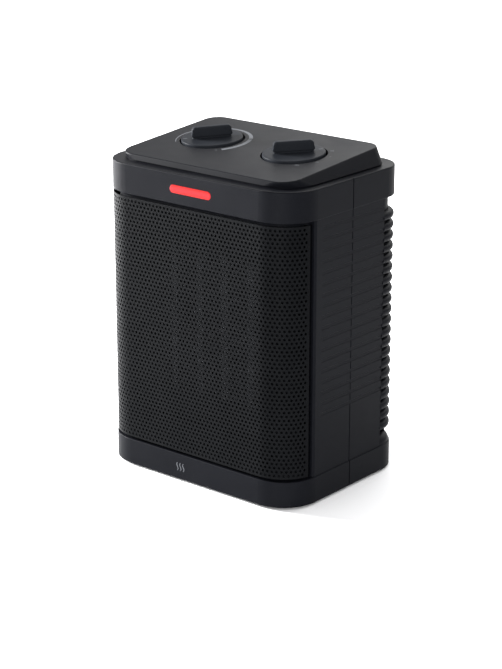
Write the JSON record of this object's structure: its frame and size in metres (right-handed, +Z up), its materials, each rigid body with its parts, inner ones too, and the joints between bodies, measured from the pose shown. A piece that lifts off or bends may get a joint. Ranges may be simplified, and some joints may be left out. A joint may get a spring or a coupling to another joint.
{
  "type": "ceramic space heater",
  "caption": "Upright desktop ceramic fan heater with a wraparound perforated grille, sloping control panel with rotary knobs, a light bar and wrapped rear intake bars",
  "frame": {"origin": "middle of the footprint, on the surface the heater stands on", "axes": "+Z up, +X to the right of someone facing the front, the hot air leaves towards -Y"},
  "size_m": [0.1858, 0.1368, 0.2576],
  "materials": {
    "housing_plastic": "fine spark-eroded satin",
    "knob_plastic": "fine satin",
    "grille_metal": "satin powder coat",
    "inner_plastic": "moulded matte",
    "fan_plastic": "moulded matte",
    "element_aluminium": "mill finish",
    "heating_ceramic": "fired, unglazed",
    "terminal_brass": "plain",
    "lamination_steel": "stamped",
    "plated_steel": "zinc plated",
    "coil_copper": "enamelled copper wire",
    "device_plastic": "moulded matte",
    "cutout_ceramic": "fired, unglazed",
    "lens_red": "translucent, lit from behind",
    "board_resin": "solder mask",
    "lamp_glass": "clear",
    "lead_insulation": "heat-resistant sleeve",
    "foot_rubber": "moulded matte"
  },
  "bodies": {
    "housing": {"front_housing": "housing_plastic", "rear_housing": "housing_plastic", "control_panel": "housing_plastic", "front_grille": "grille_metal", "air_duct": "inner_plastic", "element_frame": "inner_plastic", "ptc_tubes": "element_aluminium", "ptc_stones": "heating_ceramic", "ptc_fins": "element_aluminium", "element_terminals": "terminal_brass", "fan_shroud": "inner_plastic", "motor_core": "lamination_steel", "motor_coil": "coil_copper", "motor_bridges": "plated_steel", "thermostat_body": "device_plastic", "mode_switch_body": "inner_plastic", "indicator_lens": "lens_red", "indicator_board": "board_resin", "indicator_lamps": "lamp_glass", "tip_switch_body": "inner_plastic", "thermal_cutout": "cutout_ceramic", "thermal_fuse": "plated_steel", "terminal_block": "device_plastic", "cord_gland": "inner_plastic", "mains_leads": "lead_insulation", "element_leads": "lead_insulation", "motor_leads": "lead_insulation", "indicator_leads": "lead_insulation", "rubber_feet": "foot_rubber", "housing_screws": "plated_steel", "motor_screws": "plated_steel", "shroud_screws": "plated_steel", "control_screws": "plated_steel"},
    "thermostat_dial": {"thermostat_knob": "knob_plastic", "thermostat_shaft": "plated_steel"},
    "mode_dial": {"mode_knob": "knob_plastic", "mode_switch_shaft": "plated_steel"},
    "fan": {"fan_impeller": "fan_plastic", "motor_shaft": "plated_steel", "motor_rotor": "lamination_steel"},
    "tip_pin": {"tip_plunger": "device_plastic"}
  },
  "joints": [
    {"name": "thermostat_turn", "type": "hinge", "parent": "housing", "child": "thermostat_dial", "pos_m": [-0.039, 0.0016, 0.24643], "axis": [0, -0.0802, 0.9968], "range_deg": [-270, 0]},
    {"name": "mode_turn", "type": "hinge", "parent": "housing", "child": "mode_dial", "pos_m": [0.039, 0.0016, 0.24643], "axis": [0, -0.0802, 0.9968], "range_deg": [-93, 0]},
    {"name": "fan_spin", "type": "hinge", "parent": "housing", "child": "fan", "pos_m": [0, 0, 0.1199], "axis": [0, 1, 0], "continuous": true},
    {"name": "tip_travel", "type": "slide", "parent": "housing", "child": "tip_pin", "axis": [0, 0, -1], "range_m": [0, 0.003], "stiffness_N_per_m": 60, "springref_m": 0.004}
  ]
}
